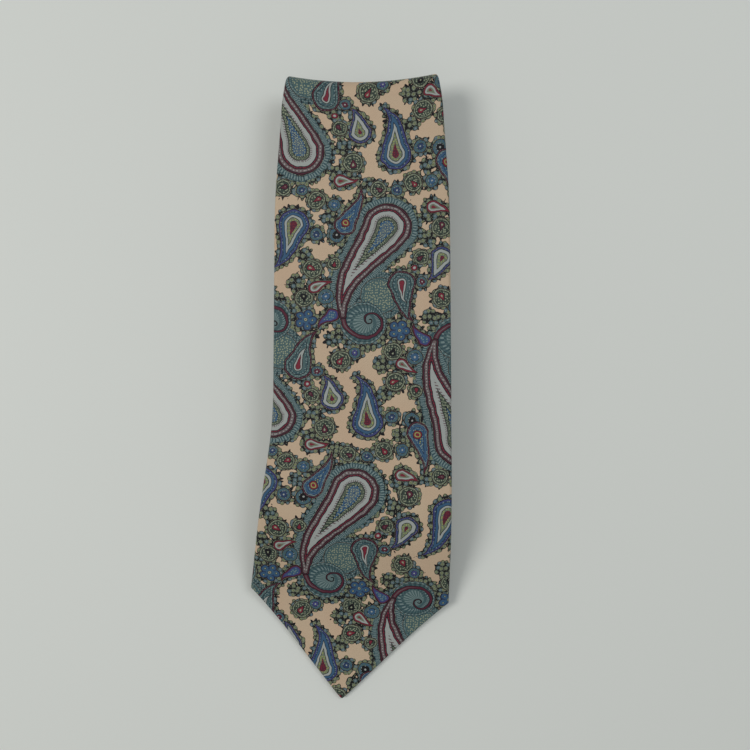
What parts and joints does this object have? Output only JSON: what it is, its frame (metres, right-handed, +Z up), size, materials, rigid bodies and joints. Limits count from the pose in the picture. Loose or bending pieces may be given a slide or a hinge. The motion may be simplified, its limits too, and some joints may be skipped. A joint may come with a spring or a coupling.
{
  "type": "necktie",
  "caption": "Lined silk necktie with a paisley print, folded flat blade up, with a tipped pointed blade, a slimmer tail and a keeper loop; its folds open out to full length.",
  "frame": {"origin": "bottom centre of the folded tie's bounding box, on the table it lies on", "axes": "+Y along the tie from the blade's point to the top fold, +Z up out of the blade's front, +X across"},
  "size_m": [0.0874, 0.2676, 0.0228],
  "materials": {
    "silk_print": "silk twill, printed with small paisleys on cream, soft sheen",
    "interlining": "brushed wool and cotton canvas, matte",
    "tipping": "plain satin lining",
    "thread": "sewing thread, matte",
    "label": "blank woven label, satin"
  },
  "bodies": {
    "tail_layer": {"interlining_fold_6": "interlining", "interlining_layer_7": "interlining", "interlining_layer_7_end": "interlining", "slip_stitch_layer_7": "thread", "tail_bar_tack": "thread", "tail_silk_fold_6": "silk_print", "tail_silk_layer_7": "silk_print", "tail_tipping": "tipping"},
    "layer_6": {"interlining_fold_5": "interlining", "interlining_layer_6": "interlining", "slip_stitch_layer_6": "thread", "tail_silk_fold_5": "silk_print", "tail_silk_layer_6": "silk_print"},
    "layer_5": {"interlining_fold_4": "interlining", "interlining_layer_5": "interlining", "neck_silk_fold_4": "silk_print", "neck_silk_layer_5": "silk_print", "slip_stitch_layer_5": "thread", "tail_silk_layer_5": "silk_print"},
    "layer_4": {"blade_silk_fold_3": "silk_print", "blade_silk_layer_4": "silk_print", "interlining_fold_3": "interlining", "interlining_layer_4": "interlining", "neck_silk_layer_4": "silk_print", "slip_stitch_layer_4": "thread"},
    "layer_3": {"blade_silk_fold_2": "silk_print", "blade_silk_layer_3": "silk_print", "interlining_fold_2": "interlining", "interlining_layer_3": "interlining", "slip_stitch_layer_3": "thread"},
    "layer_2": {"blade_silk_fold_1": "silk_print", "blade_silk_layer_2": "silk_print", "interlining_fold_1": "interlining", "interlining_layer_2": "interlining", "slip_stitch_layer_2": "thread"},
    "blade_front": {"blade_bar_tack": "thread", "blade_silk_layer_1": "silk_print", "blade_tipping_layer_1": "tipping", "blank_care_label": "label", "blank_label": "label", "interlining_layer_1": "interlining", "interlining_layer_1_end": "interlining", "keeper_loop": "silk_print", "slip_stitch_layer_1": "thread", "spare_thread_loop": "thread"},
    "blade_drape": {"blade_silk_drape": "silk_print", "blade_tipping_drape": "tipping", "interlining_drape": "interlining"},
    "blade_point": {"blade_silk_point": "silk_print", "blade_tipping_point": "tipping", "interlining_point": "interlining"}
  },
  "joints": [
    {"name": "unfold_6", "type": "hinge", "parent": "tail_layer", "child": "layer_6", "pos_m": [0.00573, -0.07549, 0.00285], "axis": [1, 0, 0], "range_deg": [0, 179.5], "deforming": ["tail_silk_fold_6", "interlining_fold_6"]},
    {"name": "unfold_5", "type": "hinge", "parent": "layer_6", "child": "layer_5", "pos_m": [0.00573, 0.1269, 0.00585], "axis": [-1, 0, 0], "range_deg": [0, 179.5], "deforming": ["tail_silk_fold_5", "interlining_fold_5"]},
    {"name": "unfold_4", "type": "hinge", "parent": "layer_5", "child": "layer_4", "pos_m": [0.00573, -0.06319, 0.00885], "axis": [1, 0, 0], "range_deg": [0, 179.5], "deforming": ["neck_silk_fold_4", "interlining_fold_4"]},
    {"name": "unfold_3", "type": "hinge", "parent": "layer_4", "child": "layer_3", "pos_m": [0.00573, 0.11089, 0.01185], "axis": [-1, 0, 0], "range_deg": [0, 179.5], "deforming": ["blade_silk_fold_3", "interlining_fold_3"]},
    {"name": "unfold_2", "type": "hinge", "parent": "layer_3", "child": "layer_2", "pos_m": [0.00573, -0.05089, 0.01485], "axis": [1, 0, 0], "range_deg": [0, 179.5], "deforming": ["blade_silk_fold_2", "interlining_fold_2"]},
    {"name": "unfold_1", "type": "hinge", "parent": "layer_2", "child": "blade_front", "pos_m": [0.00573, 0.13389, 0.01855], "axis": [-1, 0, 0], "range_deg": [0, 179.5], "deforming": ["blade_silk_fold_1", "interlining_fold_1"]},
    {"name": "lift_drape", "type": "hinge", "parent": "blade_front", "child": "blade_drape", "pos_m": [0.00271, -0.05258, 0.0221], "axis": [-0.9969, 0.0785, 0], "range_deg": [0, 26.01]},
    {"name": "level_point", "type": "hinge", "parent": "blade_drape", "child": "blade_point", "pos_m": [-0.00036, -0.09162, 0], "axis": [0.9969, -0.0785, 0], "range_deg": [0, 26.01]}
  ],
  "couplings": [
    {"joint": "unfold_5", "follows": "unfold_6", "ratio": 1},
    {"joint": "unfold_4", "follows": "unfold_6", "ratio": 1},
    {"joint": "unfold_3", "follows": "unfold_6", "ratio": 1},
    {"joint": "unfold_2", "follows": "unfold_6", "ratio": 1},
    {"joint": "unfold_1", "follows": "unfold_6", "ratio": 1},
    {"joint": "lift_drape", "follows": "unfold_6", "ratio": 0.14485},
    {"joint": "level_point", "follows": "unfold_6", "ratio": 0.14485}
  ]
}
